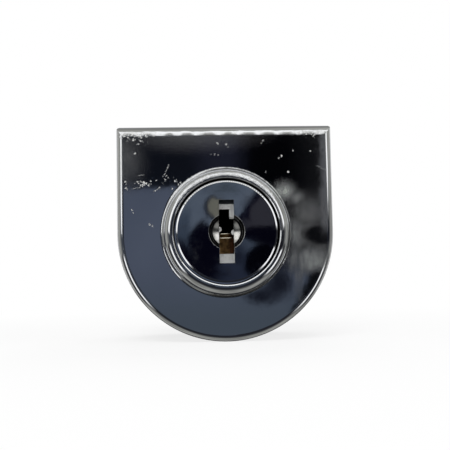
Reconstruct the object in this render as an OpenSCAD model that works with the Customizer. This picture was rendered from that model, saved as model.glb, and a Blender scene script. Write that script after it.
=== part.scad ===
// Clip-on cylinder lock for a frameless glass cabinet door.
// Every piece is drawn face up (x right, y towards the straight edge, z towards the user)
// and stood upright at the end, so that the front faces -Y and the straight edge is on top.
// z = 0 in the drawing is the front surface of the glass pane, on the cylinder's axis.

/* [Body] */
// Width of the D outline, whose round end has half of it as radius
body_w = 35; // [33:0.5:44]
// Height from the cylinder axis up to the straight edge
axis_to_top = 17.5; // [17:0.5:22]
// Thickness of the front housing without the ring
housing_t = 13; // [12.5:0.5:17]
// Rounding of the front edge at the sides and the round end
edge_r = 1.1; // [0.5:0.1:1.8]
// Rounding of the straight edge's front
top_edge_r = 1.8; // [0.5:0.1:2]
// Rounding of the outer rear edge of the back plate
back_edge_r = 0.6; // [0.3:0.1:0.8]
// Radius of the two square corners, seen from the front
corner_r = 0.8; // [0.4:0.1:1.6]

/* [Glass clamp] */
// Thickness of the glass pane that the lock grips
glass_t = 6; // [4.5:0.5:8]
// Thickness of each rubber pad
pad_t = 0.8; // [0.5:0.1:1.4]
// Distance from the outline to the edge of the pads
pad_inset = 0.8; // [0.4:0.1:2]
// Height of the bridge over the edge of the pane
bridge_h = 6; // [6:0.25:7]
// Thickness of the back plate
plate_t = 4; // [3:0.5:6]
// Thread diameter of the two clamp screws
clamp_d = 3; // [2.5:0.5:3]
// Head diameter of the two clamp screws
clamp_head_d = 5.6; // [5:0.1:5.8]
// Length of the clamp screws
clamp_len = 12; // [10:1:12]
// Distance of the clamp screws from the sides of the outline
clamp_side = 6.5; // [5:0.5:7]
// Distance of the clamp screws below the straight edge
clamp_drop = 3.6; // [3.5:0.1:3.8]

/* [Ring] */
// Outer diameter of the raised ring around the cylinder
ring_d = 19.9; // [19.8:0.1:24]
// Height of the ring above the front face
ring_h = 3.2; // [2.8:0.2:5]
// Rounding of the ring's outer upper edge
ring_round = 1.3; // [0.4:0.05:1.35]
// Rounding between the ring and the front face
ring_fillet = 0.6; // [0.1:0.05:0.7]
// Width of the chamfer on the inner edge of the ring
ring_chamfer = 0.26; // [0.1:0.02:0.3]
// Depth of that chamfer
ring_chamfer_h = 0.14; // [0.08:0.02:0.3]

/* [Cylinder] */
// Diameter of the cap on the head of the plug
head_d = 16.1; // [15.4:0.1:16.2]
// Gap between the cap and the ring
head_gap = 0.27; // [0.15:0.01:0.3]
// Depth of the head's seat below the top of the ring
head_t = 2.6; // [2.4:0.1:3]
// Thickness of the cap's front wall at its rim
cap_t = 1.2; // [1.1:0.05:1.3]
// Depth of the cap's hollow face
face_dish = 0.6; // [0.2:0.05:0.6]
// Wall of the cap's skirt
cap_wall = 0.5; // [0.4:0.05:0.7]
// Width of the bevel around the cap's face
cap_bevel = 0.3; // [0.1:0.02:0.5]
// Depth of that bevel
cap_bevel_h = 0.1; // [0.08:0.02:0.3]
// How far the cap stands out of the ring
face_proud = 0.1; // [0:0.05:0.4]
// Diameter of the plug behind its head
shaft_d = 12.4; // [12:0.1:12.8]
// Running clearance of the plug in its bore, on the radius
run_gap = 0.05; // [0.02:0.01:0.1]
// Diameter of the round key guide in the cap
dish_d = 5.76; // [5:0.02:6.4]
// Bevel of the key guide's mouth
dish_bevel = 0.4; // [0.2:0.05:0.5]
// Depth of the hollow in the head behind the key guide
hollow_h = 0.7; // [0.3:0.1:1]

/* [Keyway] */
// Width of the key slot
slot_w = 2.35; // [2:0.05:2.6]
// Height of the slot in the cap
slot_h = 9.95; // [9:0.05:10.4]
// Height of the keyway in the plug
key_h = 7.1; // [6.4:0.1:7.4]
// How far the upper ward stands out of the right wall
ward_w = 0.7; // [0.3:0.05:0.9]
// Height of the upper ward
ward_h = 1.5; // [0.8:0.1:2]
// Diameter of the two half-round side wards
rib_d = 0.85; // [0.5:0.05:1]

/* [Wafers] */
// Thickness of each wafer
wafer_t = 0.75; // [0.5:0.05:0.8]
// Width of each wafer
wafer_w = 5; // [4.6:0.1:5.2]
// Width of the window in each wafer
window_w = 3; // [2.8:0.1:3.2]
// How far a spring lifts its wafer out of the plug
wafer_up = 0.9; // [0.6:0.05:1]
// How far a key can push a wafer down
wafer_down = 1; // [0.6:0.05:1]
// Gap between a wafer and its slot in the plug
wafer_gap = 0.05; // [0.03:0.01:0.08]
// Wire of the wafer springs
wire_d = 0.2; // [0.15:0.01:0.22]
// Outer diameter of the wafer springs
coil_d = 1.2; // [1:0.05:1.3]

/* [Bolt] */
// Width of the bolt inside the housing
bolt_w = 14; // [13.5:0.25:15]
// Width of the tongue that leaves the housing
tongue_w = 10; // [8:0.5:11]
// Thickness of the bolt
bolt_t = 3.6; // [3:0.1:4]
// Travel of the bolt for a quarter turn of the plug
bolt_travel = 6; // [4.5:0.25:6.5]
// Gap between the bolt and its channel
bolt_gap = 0.1; // [0.05:0.01:0.2]
// Diameter of the crank pin on the plug
pin_d = 2.4; // [2:0.1:2.6]
// Wall of the straight edge that the bolt's shoulders stop at
stop_wall = 4; // [3:0.25:4.5]
// Thickness of the plate that covers the bolt
cover_t = 1; // [0.9:0.1:1.2]
// Rim of that plate outside the heads of its screws
cover_rim = 0.6; // [0.3:0.1:1]
// Corner cut of that plate
cover_cut = 1.5; // [0.5:0.1:1.5]
// Thread diameter of the cover screws
cover_screw_d = 2; // [1.6:0.2:2]
// Length of the cover screws
cover_screw_len = 4.4; // [3:0.1:4.5]
// Wall between the bolt and the cover screws
cover_screw_wall = 0.9; // [0.7:0.1:1.4]
// Thickness of the retaining clip
clip_t = 0.7; // [0.5:0.05:0.8]

/* [Hidden] */
$fn = 96;
eps = 0.5;

// clearances
play = 0.1;
screw_play = 0.03;
head_play = 0.02;
side_gap = 0.15;

body_r = body_w / 2;
bridge_y = axis_to_top - bridge_h;

// levels along the drawing's z
z_rear = pad_t;
z_front = z_rear + housing_t;
z_ring = z_front + ring_h;
z_face = z_ring + face_proud;
z_cap = z_face - cap_t;
z_seat = z_ring - head_t;
z_head = z_seat + play;
z_cover = z_rear + cover_t;
z_bolt = z_cover + bolt_gap;
z_channel = z_bolt + bolt_t + bolt_gap;
pocket_t = clip_t + 1.1;
z_pocket = z_channel + pocket_t;
z_plug = z_channel + play;
z_clip = z_pocket - play - clip_t;
z_plate = -glass_t - pad_t;
z_back = z_plate - plate_t;

// cylinder
bore_r = shaft_d / 2 + run_gap;
head_r = head_d / 2 - cap_wall - screw_play;
counter_r = head_d / 2 + head_gap;
groove_r = shaft_d / 2 - 1;
face_r = head_d / 2 - cap_bevel;
dish_r = (face_r * face_r + face_dish * face_dish) / (2 * face_dish);
z_mouth = z_face - face_dish + dish_r - sqrt(dish_r * dish_r - dish_d * dish_d / 4);
clip_r = shaft_d / 2 + 1.2;
pocket_r = shaft_d / 2 + 1.8;

// wafers, one every pitch from the front land to the rear land
wafers = 5;
land = 0.5;
pitch = (z_seat - z_pocket - 2 * land - wafer_t) / (wafers - 1);
bars = [-0.85, -0.1, -1.15, -0.7, -1.4];
wafer_r = shaft_d / 2 - 0.05;
window_top = key_h / 2 + wafer_down + 0.2;
relief_r = wafer_r + max(wafer_up, wafer_down) + 0.25;
relief_w = wafer_w + 0.3;
z_keyway = z_pocket + 0.2;

// spring ears, on the left and right in turn
ear_x = 4.4;
ear_lo = 0.5;
ear_hi = 1.5;
spring_x = 3.55;
chamber_d = coil_d + 0.25;
chamber_lo = -2.3;
coils = 4;

// bolt and crank: a quarter turn centred on the horizontal
crank_r = bolt_travel / sqrt(2);
crank_y = -bolt_travel / 2;
pin_play = 0.1 + 0.035 * crank_r;
pin_slot = pin_d + 2 * pin_play;
bolt_low = crank_y - pin_slot / 2 - 1.5;
bolt_high = axis_to_top - 2 * play;
stop_y = axis_to_top - stop_wall;
shoulder_y = stop_y - bolt_travel - 2 * play;

// cover plate
cover_head_d = 1.85 * cover_screw_d;
cover_head_h = 0.5 * (cover_head_d - cover_screw_d);
screw_edge = cover_head_d / 2 + cover_rim;
screw_x = bolt_w / 2 + cover_screw_wall + cover_screw_d / 2;
screw_lo = bolt_low - cover_screw_wall;
cover_x = screw_x + screw_edge;
cover_lo = screw_lo - screw_edge;
cover_hi = bridge_y - 2 * play;
screw_hi = cover_hi - screw_edge;

// clamp screws
head_land = 0.2;
clamp_x = body_r - clamp_side;
clamp_y = axis_to_top - clamp_drop;
clamp_head_h = 0.5 * (clamp_head_d - clamp_d) + head_land;

echo(pitch = pitch, spring_gap = spring_pitch() - wire_d, coupling_m_per_rad = bolt_travel / 1000 / (PI / 2));

// Stands a piece upright: the drawing's y becomes up and its z becomes the front.
module upright() {
  rotate([90, 0, 0]) children();
}

// Half of a slab's section: a rectangle with its outer upper corner rounded.
module rim(reach, t, e) {
  difference() {
    square([reach, t]);
    translate([reach - e, t - e]) difference() {
      square([e + eps, e + eps]);
      circle(r = e);
    }
  }
}

// D-shaped slab with a rounded upper edge, mitred at the square corners: e_top rounds the straight edge.
module d_slab(t, e, e_top) {
  c = max(e, e_top, corner_r) + 0.15;
  rotate([0, 0, 180]) rotate_extrude(angle = 180) rim(body_r, t, e);
  for (side = [0, 1]) mirror([side, 0, 0]) {
    translate([0, axis_to_top - c, 0])
      rotate([90, 0, 0]) linear_extrude(axis_to_top - c) rim(body_r, t, e);
    translate([body_r - c, axis_to_top - c, 0]) intersection() {
      translate([0, c, 0]) rotate([90, 0, 0]) linear_extrude(c) rim(c, t, e);
      rotate([90, 0, 90]) linear_extrude(c) rim(c, t, e_top);
      linear_extrude(t) rim(c, c, corner_r);
    }
  }
  translate([-(body_r - c), axis_to_top - c, 0])
    rotate([90, 0, 90]) linear_extrude(2 * (body_r - c)) rim(c, t, e_top);
}

// Bar along the straight edge, with the outline's two corners.
module edge_bar(y0, z0, z1) {
  c = corner_r;
  translate([-body_r, y0, z0]) cube([body_w, axis_to_top - c - y0, z1 - z0]);
  translate([-(body_r - c), axis_to_top - c, z0]) cube([2 * (body_r - c), c, z1 - z0]);
  for (side = [0, 1]) mirror([side, 0, 0])
    translate([body_r - c, axis_to_top - c, z0])
      rotate_extrude(angle = 90) square([c, z1 - z0]);
}

// Flat D outline kept below the strip on the bridge, inset from the body's outline.
module pad_outline(inset) {
  r = body_r - inset;
  intersection() {
    circle(r = r);
    translate([-r - eps, -r - eps]) square([2 * r + 2 * eps, r + eps]);
  }
  translate([-r, 0]) square([2 * r, bridge_y - pad_t - play]);
}

// Countersunk screw along +z with its head's face at z = 0 and a cross recess.
module countersunk(d, head_d, head_h, len) {
  cross_w = 0.11 * head_d;
  cross_l = 0.58 * head_d;
  difference() {
    union() {
      cylinder(r = head_d / 2, h = head_land);
      translate([0, 0, head_land]) cylinder(r1 = head_d / 2, r2 = d / 2, h = head_h - head_land);
      cylinder(r = d / 2, h = len);
    }
    for (turn = [0, 90]) rotate([0, 0, turn])
      translate([-cross_l / 2, -cross_w / 2, -eps]) cube([cross_l, cross_w, eps + 0.55 * head_h]);
  }
}

// Hole for that screw, with its clearance on the radius.
module screw_hole(d, head_d, head_h, depth) {
  r = d / 2 + head_play;
  head_r = head_d / 2 + head_play;
  translate([0, 0, -eps]) cylinder(r = head_r, h = eps + head_land);
  translate([0, 0, head_land]) cylinder(r1 = head_r, r2 = r, h = head_h - head_land);
  cylinder(r = r, h = depth);
}

module cover_outline(grow) {
  x = cover_x + grow;
  y0 = cover_lo - grow;
  y1 = cover_hi + grow;
  k = cover_cut;
  polygon([
    [-x + k, y0], [x - k, y0], [x, y0 + k], [x, y1 - k],
    [x - k, y1], [-x + k, y1], [-x, y1 - k], [-x, y0 + k]
  ]);
}

module cover_screw_places() {
  for (x = [-screw_x, screw_x]) for (y = [screw_lo, screw_hi])
    translate([x, y, z_rear]) children();
}

module clamp_screw_places() {
  for (x = [-clamp_x, clamp_x]) translate([x, clamp_y, z_back]) children();
}

// Raised ring around the cylinder: rounded foot, straight wall, rounded outer edge, narrow flat top.
module ring_boss() {
  inner = shaft_d / 4;
  foot = ring_d / 2 + ring_fillet;
  rotate_extrude() {
    translate([inner, z_front - 1]) rim(ring_d / 2 - inner, ring_h + 1, ring_round);
    translate([0, z_front - 1]) difference() {
      translate([inner, 0]) square([foot - inner, 1 + ring_fillet]);
      translate([foot, 1 + ring_fillet]) circle(r = ring_fillet);
    }
  }
}

module front_housing() {
  color([0.62, 0.63, 0.65]) difference() {
    union() {
      translate([0, 0, z_rear]) d_slab(housing_t, edge_r, top_edge_r);
      ring_boss();
      edge_bar(bridge_y, z_plate, z_rear + 1);
    }
    // seat for the cap and head, with its chamfered mouth
    translate([0, 0, z_seat]) cylinder(r = counter_r, h = head_t + eps);
    translate([0, 0, z_ring - ring_chamfer_h])
      cylinder(r1 = counter_r, r2 = counter_r + 2 * ring_chamfer, h = 2 * ring_chamfer_h);
    // bore for the plug and the reliefs that the wafers lock into
    translate([0, 0, z_pocket - eps]) cylinder(r = bore_r, h = z_seat - z_pocket + 2 * eps);
    for (turn = [0, 90]) rotate([0, 0, turn])
      translate([-relief_w / 2, -relief_r, z_pocket - eps])
        cube([relief_w, 2 * relief_r, z_seat - z_pocket + eps]);
    // pocket for the clip
    translate([0, 0, z_channel - eps]) cylinder(r = pocket_r, h = pocket_t + eps);
    // channel for the bolt, and its way out through the straight edge
    translate([-bolt_w / 2 - side_gap, bolt_low - 2 * play, z_cover])
      cube([bolt_w + 2 * side_gap, stop_y - bolt_low + 2 * play, z_channel - z_cover]);
    translate([-tongue_w / 2 - side_gap, stop_y - eps, z_cover])
      cube([tongue_w + 2 * side_gap, axis_to_top - stop_y + 2 * eps, z_channel - z_cover]);
    // recess for the cover, with its screw holes
    translate([0, 0, z_rear - eps]) linear_extrude(cover_t + eps) cover_outline(play);
    cover_screw_places() cylinder(r = cover_screw_d / 2 + screw_play, h = cover_screw_len + play);
    // threaded holes for the clamp screws
    clamp_screw_places() cylinder(r = clamp_d / 2 + screw_play, h = clamp_len + eps);
  }
}

// Chrome cap on the plug's head, with a hollow face, the key slot and the round guide for the key.
module plug_cap() {
  color([0.66, 0.67, 0.7]) difference() {
    rotate_extrude() difference() {
      translate([0, z_head + 0.2]) square([head_d / 2, z_face - z_head - 0.2]);
      polygon([
        [face_r, z_face + eps], [face_r, z_face], [head_d / 2, z_face - cap_bevel_h],
        [head_d / 2 + eps, z_face - cap_bevel_h], [head_d / 2 + eps, z_face + eps]
      ]);
      translate([0, z_face - face_dish + dish_r]) circle(r = dish_r, $fn = 960);
      translate([-eps, z_head]) square([head_r + screw_play + eps, z_cap - z_head]);
    }
    translate([-slot_w / 2, -slot_h / 2, z_cap - eps]) cube([slot_w, slot_h, cap_t + 2 * eps]);
    translate([0, 0, z_cap - eps]) cylinder(r = dish_d / 2 - dish_bevel, h = cap_t + 2 * eps);
    translate([0, 0, z_mouth - dish_bevel])
      cylinder(r1 = dish_d / 2 - dish_bevel, r2 = dish_d / 2 + dish_bevel, h = 2 * dish_bevel);
  }
}

function wafer_z(i) = z_seat - land - wafer_t / 2 - i * pitch;
function ear_side(i) = i % 2 == 0 ? -1 : 1;

module keyway() {
  h = z_cap - z_keyway + eps;
  difference() {
    translate([-slot_w / 2, -key_h / 2, z_keyway]) cube([slot_w, key_h, h]);
    translate([slot_w / 2 - ward_w, key_h / 2 - ward_h, z_keyway - eps])
      cube([ward_w + eps, ward_h + eps, h + 2 * eps]);
    translate([-slot_w / 2, 0.4, z_keyway - eps]) cylinder(r = rib_d / 2, h = z_cap - z_keyway + eps - 0.6);
    translate([slot_w / 2, -0.1, z_keyway - eps]) cylinder(r = rib_d / 2, h = z_cap - z_keyway + eps - 0.6);
  }
}

module wafer_slot(i) {
  t = wafer_t + 2 * wafer_gap;
  side = ear_side(i);
  z = wafer_z(i) - t / 2;
  translate([-wafer_w / 2 - wafer_gap, -shaft_d / 2 - eps, z])
    cube([wafer_w + 2 * wafer_gap, shaft_d + 2 * eps, t]);
  x0 = side < 0 ? -ear_x - 0.1 : 0;
  translate([x0, ear_lo - wafer_down - 0.1, z])
    cube([ear_x + 0.1, ear_hi - ear_lo + wafer_up + wafer_down + 0.25, t]);
  translate([side * spring_x, chamber_lo, wafer_z(i)])
    rotate([-90, 0, 0]) cylinder(r = chamber_d / 2, h = ear_hi + wafer_up + 0.15 - chamber_lo);
}

module plug() {
  bowl = shaft_d / 5;
  bowl_r = (bowl * bowl + hollow_h * hollow_h) / (2 * hollow_h);
  color([0.58, 0.58, 0.6]) difference() {
    union() {
      translate([0, 0, z_head]) cylinder(r = head_r, h = z_cap - z_head);
      translate([0, 0, z_plug]) cylinder(r = shaft_d / 2, h = z_head - z_plug + 0.2);
      translate([crank_y, crank_y, z_bolt + 0.2]) cylinder(r = pin_d / 2, h = z_plug - z_bolt);
    }
    // groove for the clip
    translate([0, 0, z_clip - 0.05]) difference() {
      cylinder(r = shaft_d / 2 + eps, h = clip_t + 0.1);
      translate([0, 0, -eps]) cylinder(r = groove_r, h = clip_t + 2 * eps);
    }
    keyway();
    for (i = [0 : wafers - 1]) wafer_slot(i);
    // hollow that guides the key
    translate([0, 0, z_cap + bowl_r - hollow_h]) sphere(r = bowl_r);
  }
}

module wafer(i) {
  side = ear_side(i);
  color([0.72, 0.53, 0.25]) translate([0, 0, wafer_z(i) - wafer_t / 2])
    linear_extrude(wafer_t) difference() {
      union() {
        intersection() {
          circle(r = wafer_r);
          square([wafer_w, 3 * wafer_r], center = true);
        }
        translate([side < 0 ? -ear_x : window_w / 2 + 0.2, ear_lo])
          square([ear_x - window_w / 2 - 0.2, ear_hi - ear_lo]);
      }
      translate([-window_w / 2, bars[i]]) square([window_w, window_top - bars[i]]);
    }
}

function spring_len() = ear_lo - chamber_lo;
function spring_pitch() = (spring_len() - wire_d) / coils;

// One round of the wire's section, at step s of the coil.
function coil_ring(s, steps, sides) =
  let (turn = 360 * coils * s / steps)
  let (r = (coil_d - wire_d) / 2)
  [for (k = [0 : sides - 1])
    let (a = 360 * k / sides)
    let (q = r + wire_d / 2 * cos(a))
    [q * cos(turn), wire_d / 2 + spring_pitch() * coils * s / steps + wire_d / 2 * sin(a), q * sin(turn)]];

module wafer_spring(i) {
  sides = 6;
  steps = 10 * coils;
  points = [for (s = [0 : steps]) each coil_ring(s, steps, sides)];
  walls = [for (s = [0 : steps - 1]) for (k = [0 : sides - 1])
    let (n = (k + 1) % sides)
    [s * sides + k, s * sides + n, (s + 1) * sides + n, (s + 1) * sides + k]];
  first = [for (k = [0 : sides - 1]) sides - 1 - k];
  last = [for (k = [0 : sides - 1]) steps * sides + k];
  color([0.75, 0.75, 0.76]) translate([ear_side(i) * spring_x, chamber_lo, wafer_z(i)])
    polyhedron(points, concat(walls, [first, last]), convexity = 6);
}

module retaining_clip() {
  lug_r = 0.9;
  hole_r = 0.4;
  half_gap = 23;
  far = 2 * clip_r;
  mid = (groove_r + clip_r) / 2 + 0.3;
  color([0.35, 0.35, 0.37]) translate([0, 0, z_clip]) linear_extrude(clip_t) difference() {
    union() {
      difference() {
        circle(r = clip_r - 0.3);
        circle(r = groove_r + 0.03);
        polygon([[0, 0], [-far * tan(half_gap), -far], [far * tan(half_gap), -far]]);
      }
      for (x = [-1, 1]) rotate([0, 0, x * 25]) translate([0, -mid]) circle(r = lug_r);
    }
    for (x = [-1, 1]) rotate([0, 0, x * 25]) translate([0, -mid]) circle(r = hole_r);
  }
}

module bolt() {
  half = bolt_w / 2;
  tip = tongue_w / 2;
  cut = 0.5;
  color([0.6, 0.61, 0.63]) translate([0, 0, z_bolt]) difference() {
    linear_extrude(bolt_t) polygon([
      [-half, bolt_low], [half, bolt_low], [half, shoulder_y], [tip, shoulder_y],
      [tip, bolt_high - cut], [tip - cut, bolt_high], [-tip + cut, bolt_high],
      [-tip, bolt_high - cut], [-tip, shoulder_y], [-half, shoulder_y]
    ]);
    translate([-crank_r - pin_d / 2 - 0.25, crank_y - pin_slot / 2, -eps])
      cube([crank_r + crank_y + pin_d + 0.5, pin_slot, bolt_t + 2 * eps]);
  }
}

module bolt_cover() {
  color([0.68, 0.69, 0.7]) difference() {
    translate([0, 0, z_rear]) linear_extrude(cover_t) cover_outline(0);
    cover_screw_places()
      screw_hole(cover_screw_d, cover_head_d, cover_head_h, cover_t + eps);
  }
}

module cover_screws() {
  color([0.5, 0.5, 0.52]) cover_screw_places()
    countersunk(cover_screw_d, cover_head_d, cover_head_h, cover_screw_len);
}

module front_pad() {
  color([0.12, 0.12, 0.13]) linear_extrude(pad_t) pad_outline(pad_inset);
}

module rear_pad() {
  color([0.12, 0.12, 0.13]) translate([0, 0, z_plate]) linear_extrude(pad_t) pad_outline(pad_inset);
}

module edge_pad() {
  r = body_r - pad_inset;
  color([0.12, 0.12, 0.13]) translate([-r, bridge_y - pad_t, -glass_t]) cube([2 * r, pad_t, glass_t]);
}

module back_plate() {
  color([0.62, 0.63, 0.65]) difference() {
    translate([0, 0, z_plate]) mirror([0, 0, 1]) d_slab(plate_t, back_edge_r, back_edge_r);
    clamp_screw_places() screw_hole(clamp_d, clamp_head_d, clamp_head_h, plate_t + eps);
  }
}

module clamp_screws() {
  color([0.7, 0.7, 0.72]) clamp_screw_places()
    countersunk(clamp_d, clamp_head_d, clamp_head_h, clamp_len);
}

upright() front_housing();
upright() plug();
upright() plug_cap();
upright() wafer(0);  // wafer_1
upright() wafer(1);  // wafer_2
upright() wafer(2);  // wafer_3
upright() wafer(3);  // wafer_4
upright() wafer(4);  // wafer_5
upright() wafer_spring(0);  // wafer_spring_1
upright() wafer_spring(1);  // wafer_spring_2
upright() wafer_spring(2);  // wafer_spring_3
upright() wafer_spring(3);  // wafer_spring_4
upright() wafer_spring(4);  // wafer_spring_5
upright() retaining_clip();
upright() bolt();
upright() bolt_cover();
upright() cover_screws();
upright() front_pad();
upright() rear_pad();
upright() edge_pad();
upright() back_plate();
upright() clamp_screws();
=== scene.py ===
import math

import bmesh
import bpy
from mathutils import Matrix, Vector


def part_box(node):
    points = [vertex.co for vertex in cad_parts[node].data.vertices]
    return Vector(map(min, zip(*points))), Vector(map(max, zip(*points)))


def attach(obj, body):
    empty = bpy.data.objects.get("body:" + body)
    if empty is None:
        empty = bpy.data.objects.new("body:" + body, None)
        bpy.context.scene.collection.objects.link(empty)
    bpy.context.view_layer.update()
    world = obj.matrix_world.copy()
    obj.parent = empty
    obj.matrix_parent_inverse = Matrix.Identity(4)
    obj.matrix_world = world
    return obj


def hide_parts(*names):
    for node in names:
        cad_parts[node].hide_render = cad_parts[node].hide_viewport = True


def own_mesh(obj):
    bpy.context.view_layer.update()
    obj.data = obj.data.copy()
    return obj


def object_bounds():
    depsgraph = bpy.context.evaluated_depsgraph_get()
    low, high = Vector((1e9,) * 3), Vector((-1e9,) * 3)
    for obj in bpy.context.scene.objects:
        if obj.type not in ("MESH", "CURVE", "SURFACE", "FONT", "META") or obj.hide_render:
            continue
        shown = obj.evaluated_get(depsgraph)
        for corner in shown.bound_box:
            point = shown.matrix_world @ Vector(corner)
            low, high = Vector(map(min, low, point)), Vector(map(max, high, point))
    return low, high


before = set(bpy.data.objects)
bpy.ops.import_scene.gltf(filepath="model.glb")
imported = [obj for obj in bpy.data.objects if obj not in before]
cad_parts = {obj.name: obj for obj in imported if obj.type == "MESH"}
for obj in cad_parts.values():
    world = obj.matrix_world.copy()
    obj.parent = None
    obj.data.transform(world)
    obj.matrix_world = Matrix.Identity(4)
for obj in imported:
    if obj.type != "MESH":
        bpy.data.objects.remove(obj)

CAD_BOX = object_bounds()
MM = 0.001

# The camera: degrees round the lock's front, above it and of roll, its distance from the point that it
# looks at, and its lens and sensor in mm.
CAMERA_AZIMUTH = -2.43
CAMERA_ELEVATION = -3.89
CAMERA_ROLL = -1.1
CAMERA_DISTANCE = 130 * MM
CAMERA_AIM = Vector((-0.096, -12.7, 1.269)) * MM
CAMERA_LENS = 64.09
CAMERA_SENSOR = 36.0

# The front of the lock, in mm in the row frame: the body's flat face behind ring and cap, and the height
# where its upper edge starts to round off.
RING_HEIGHT = 3.2
CAP_PROUD = 0.1
EDGE_ROUNDING = 1.8
FACE_Y = CAD_BOX[0].y / MM + CAP_PROUD + RING_HEIGHT
ROUNDING_Z = CAD_BOX[1].z / MM - EDGE_ROUNDING

# Inner and outer radii in mm of the ring's grained top, of its foot and of the gap round the cap.
RING_TOP = (8.6, 10.5)
RING_FOOT = (10.2, 10.6)
CAP_GAP = (8.0, 8.42)

# The key guide's bevel (inner and outer radius) and bowl, and half sizes of the key slot and keyway, in mm.
GUIDE_BEVEL = (2.56, 2.88)
GUIDE_RADIUS = 2.5
SLOT_HALF = 1.175
KEYWAY_HALF_X = 1.3
KEYWAY_HALF_Z = 3.7

# The floor, and the dome round the front's centre that the chrome mirrors, in m.
FACE_CENTRE = Vector((0.0, FACE_Y, 0.0)) * MM
FLOOR_Z = CAD_BOX[0].z
FLOOR_SIZE = 4.0
DOME_RADIUS = 2.0

# A card before the hollow cap, which mirrors it upside down: its centre, its size against the cap's, and
# its radius.
CARD_CENTRE = Vector((2.645, -77.0, 3.565)) * MM
CARD_SCALE = 0.911
CARD_RADIUS = 7.4 * MM

# The lamps: degrees round the lock and above it, distance and size in m, power in W.
LAMPS = {
    "key": (-12, 45, 0.6, 0.3, 2.0),
    "fill": (60, 25, 0.7, 0.4, 0.8),
    "back": (170, 45, 0.7, 0.4, 1.6),
}

# Dust on the chrome front: x, z and radius in mm.
SPECKS = [
    (-15.1, 3.9, 0.12), (-14.8, 3.4, 0.07), (-12.2, 1.5, 0.13), (-11.8, 1.2, 0.11),
    (-14.4, 13.0, 0.13), (-1.1, 14.5, 0.13), (0.3, 14.3, 0.11), (0.6, 13.8, 0.11),
    (6.3, 14.8, 0.12), (6.0, 14.4, 0.07), (9.3, 12.3, 0.14), (8.8, 11.9, 0.09),
    (11.1, 13.1, 0.09), (14.0, 13.0, 0.14), (10.3, 9.7, 0.14), (6.6, 9.7, 0.09),
    (-8.5, 7.2, 0.13), (-16.0, 8.4, 0.15), (-15.9, 7.4, 0.14), (-13.1, 8.3, 0.20),
    (-12.6, 8.1, 0.16), (-1.6, 12.6, 0.08), (-1.0, 12.5, 0.07),
    (-2.2, 12.7, 0.05), (12.0, -14.0, 0.14),
]

# Scratches in the chrome front, some of them painted glints: both ends in mm, then the half width.
SCRATCHES_AND_GLINTS = [
    (-8.9, 11.2, -9.8, 9.4, 0.06), (-13.9, 8.5, -12.5, 8.1, 0.05),
    (-11.5, 6.7, -10.4, 7.5, 0.04), (-15.2, 7.3, -13.5, 7.4, 0.02),
    (14.9, 10.6, 16.6, 9.9, 0.012), (-14.0, 9.4, -12.8, 9.5, 0.012), (-15.9, 8.2, -15.7, 7.0, 0.04),
]

# Rubbed patches of fine points, partly painted glints: centre and half axes in mm, then the densest share
# of cells with a point.
SCUFFS_AND_GLINTS = [
    (-9.8, 8.3, 3.6, 1.5, 0.2), (-13.2, 8.1, 2.2, 0.7, 0.5), (-14.3, 16.4, 3.9, 2.2, 1.0),
    (14.0, 16.3, 4.0, 1.1, 0.6),
]

# Greasy smears that haze the chrome front, and clean patches in them: centre, half axes, strength.
SMEARS = [
    (9.5, 6.6, 2.7, 2.2, 1.35), (11.4, 5.4, 2.6, 2.1, 0.74), (13.0, 3.0, 4.4, 4.4, 0.55),
    (11.4, -0.4, 3.2, 5.0, 0.7), (14.0, -4.8, 5.2, 4.4, 0.9), (11.9, -8.0, 1.5, 5.4, 0.55),
    (10.8, -4.0, 2.4, 4.2, 0.65), (12.6, 0.0, 5.0, 7.5, 0.48), (14.2, -5.2, 2.8, 1.7, 1.0),
    (-16.0, 12.0, 4.5, 6.5, 0.46),
]
CLEAN_PATCHES = [(15.6, -0.4, 3.4, 1.6, 1.0), (15.0, -9.2, 4.0, 3.1, 1.0), (8.6, -8.4, 2.0, 3.0, 0.95)]

# A thin film that fades down from the upper edge, listed like the smears.
FILM = [(-5.0, 16.8, 14.0, 4.2, 0.36)]

# Height of the bar in each wafer's window, in mm from the axis.
WAFER_BARS = [-0.85, -0.1, -1.15, -0.7, -1.4]

# Colours of the lock's materials.
CHROME = (0.62, 0.63, 0.655)
MILKY = (0.56, 0.59, 0.55, 1.0)
# Pale and matt: dust, and the painted glints among the front's scuffs and scratches.
DUST_AND_GLINT = (0.74, 0.74, 0.72, 1.0)
# Painted shade for the ring's foot, the gap round the cap and the key guide's bevel.
SHADE_BLACK = (0.010, 0.009, 0.009, 1.0)
NICKEL = (0.78, 0.78, 0.79, 1.0)
PHOSPHATE = (0.16, 0.16, 0.17, 1.0)
ZINC_PLATE = (0.66, 0.68, 0.71, 1.0)
SCREW_ZINC = (0.68, 0.69, 0.72, 1.0)
SPRING_STEEL = (0.72, 0.72, 0.74, 1.0)
NICKEL_DULL = (0.50, 0.49, 0.46, 1.0)
BOLT_DULL = (0.45, 0.44, 0.42, 1.0)
SPRING_DULL = (0.35, 0.34, 0.33, 1.0)
BRASS = (0.40, 0.225, 0.085, 1.0)
# Painted shade on the right of a wafer.
BRASS_RED_SHADE = (0.17, 0.07, 0.035, 1.0)
BRASS_TARNISH = (0.06, 0.028, 0.012, 1.0)
# Painted highlight along the top of a wafer's bar.
BRASS_HIGHLIGHT = (0.98, 0.92, 0.76, 1.0)
ZINC = (0.92, 0.92, 0.91, 1.0)
ZINC_GUIDE = (0.56, 0.555, 0.54, 1.0)
ZINC_TARNISH = (0.50, 0.49, 0.48, 1.0)
# Painted shade on the key guide's bowl.
ZINC_BOWL_SHADE = (0.14, 0.14, 0.135, 1.0)
# Painted shade in the keyway and round the guide, and the cap's painted shadow on the plug.
KEYWAY_SHADE = (0.006, 0.006, 0.007, 1.0)
UNDER_CAP_SHADOW = (0.040, 0.046, 0.052, 1.0)
RUBBER = (0.012, 0.012, 0.013, 1.0)
RUBBER_WORN = (0.035, 0.035, 0.036, 1.0)
LINT = (0.25, 0.24, 0.22, 1.0)

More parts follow.
